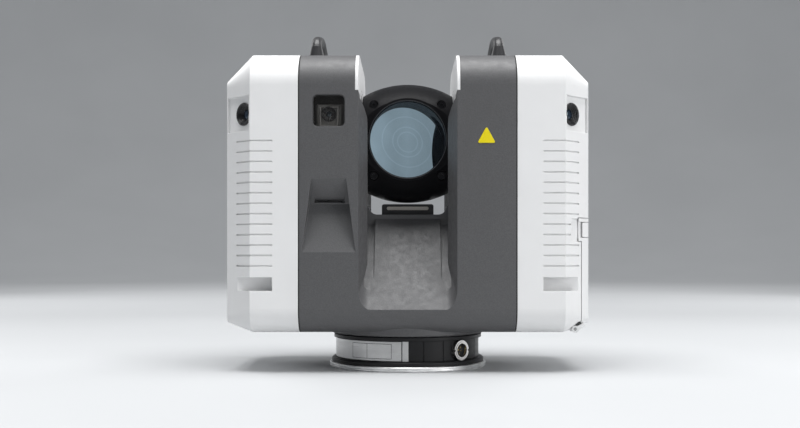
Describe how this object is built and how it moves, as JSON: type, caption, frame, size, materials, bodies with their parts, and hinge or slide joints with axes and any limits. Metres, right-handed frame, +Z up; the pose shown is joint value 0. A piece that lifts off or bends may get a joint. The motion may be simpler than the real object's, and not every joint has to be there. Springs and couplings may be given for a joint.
{
  "type": "terrestrial laser scanner",
  "caption": "Tripod-mounted laser scanner: U-shaped turning body with white side covers, spinning mirror drum between its towers, cameras, top handles and a round base.",
  "frame": {"origin": "middle of the base ring's lower face, on the azimuth axis", "axes": "+Z up along the azimuth axis, -Y the front that the scanning window faces, +X to the object's right as seen from the front, along the rotor's axis"},
  "size_m": [0.2408, 0.1202, 0.2297],
  "materials": {
    "dark_paint": "fine textured",
    "white_cover": "satin",
    "seal_rubber": "matt",
    "handle_plastic": "satin",
    "rotor_black": "satin anodised",
    "black_plastic": "satin",
    "black_base": "semi gloss",
    "pale_strip": "matt",
    "smoked_glass": "polished",
    "coated_glass": "polished, coated",
    "lens_glass": "polished",
    "mirror": "polished",
    "plate_silver": "satin",
    "ring_metal": "turned",
    "nut_chrome": "polished",
    "steel": "machined",
    "black_steel": "black_oxide",
    "bushing_steel": "threaded",
    "gold": "gold plated",
    "copper": "wound wire",
    "encoder_glass": "etched",
    "sensor_black": "matt",
    "battery_grey": "matt",
    "laser_case": "bead blasted",
    "board_green": "solder mask",
    "yellow_plate": "printed film"
  },
  "bodies": {
    "base": {"base_ring": "ring_metal", "base_plate": "black_base", "base_housing": "black_base", "tripod_bushing": "bushing_steel", "base_screws": "steel", "label_plates": "plate_silver", "socket_shell": "nut_chrome", "socket_nut": "nut_chrome", "socket_insert": "black_plastic", "socket_contacts": "gold", "azimuth_bearing_outer": "steel", "azimuth_motor_stator": "copper", "azimuth_encoder_head": "sensor_black", "slip_ring_post": "sensor_black"},
    "yoke": {"yoke_housing": "dark_paint", "inner_liners": "white_cover", "cover_seals": "seal_rubber", "left_cover": "white_cover", "right_cover": "white_cover", "door_hinge_pin": "steel", "left_handle": "handle_plastic", "right_handle": "handle_plastic", "handle_screws": "steel", "reference_block": "handle_plastic", "reference_strip": "pale_strip", "upper_camera_window": "smoked_glass", "lower_camera_window": "smoked_glass", "camera_modules": "black_plastic", "corner_camera_barrels": "black_plastic", "corner_camera_lenses": "lens_glass", "triangle_plate": "yellow_plate", "display_bezel": "black_plastic", "display_glass": "smoked_glass", "laser_unit": "laser_case", "collimator_lens": "lens_glass", "main_board": "board_green", "battery_bay": "sensor_black", "battery_lower": "battery_grey", "battery_upper": "battery_grey", "spindle_bearing_outer_rings": "steel", "mirror_motor_stator": "copper", "mirror_encoder_head": "sensor_black", "azimuth_shaft": "steel", "azimuth_bearing_inner": "steel", "azimuth_encoder_disc": "encoder_glass", "azimuth_magnet_ring": "steel", "slip_ring_drum": "gold"},
    "rotor": {"rotor_housing": "rotor_black", "scan_mirror": "mirror", "rotor_window": "coated_glass", "rotor_bezel": "rotor_black", "rotor_screws": "black_steel", "rotor_shafts": "steel", "spindle_bearing_inner_rings": "steel", "mirror_motor_magnet": "steel", "mirror_encoder_disc": "encoder_glass"},
    "battery_door": {"battery_door": "white_cover", "door_seal": "seal_rubber"},
    "door_latch": {"door_latch": "white_cover"},
    "power_button": {"power_button": "black_plastic"}
  },
  "joints": [
    {"name": "azimuth_turn", "type": "hinge", "parent": "base", "child": "yoke", "pos_m": [0, 0, 0.017], "axis": [0, 0, 1], "continuous": true},
    {"name": "mirror_spin", "type": "hinge", "parent": "yoke", "child": "rotor", "pos_m": [0, 0, 0.155], "axis": [1, 0, 0], "continuous": true},
    {"name": "battery_door_hinge", "type": "hinge", "parent": "yoke", "child": "battery_door", "pos_m": [0.1105, 0, 0.0281], "axis": [0, 1, 0], "range_deg": [0, 100]},
    {"name": "door_latch_pull", "type": "hinge", "parent": "battery_door", "child": "door_latch", "pos_m": [0.1186, -0.032, 0.0936], "axis": [0, 0, 1], "range_deg": [0, 14], "stiffness_Nm_per_rad": 0.05},
    {"name": "power_button_press", "type": "slide", "parent": "yoke", "child": "power_button", "axis": [1, 0, 0], "range_m": [0, 0.001], "stiffness_N_per_m": 600}
  ]
}
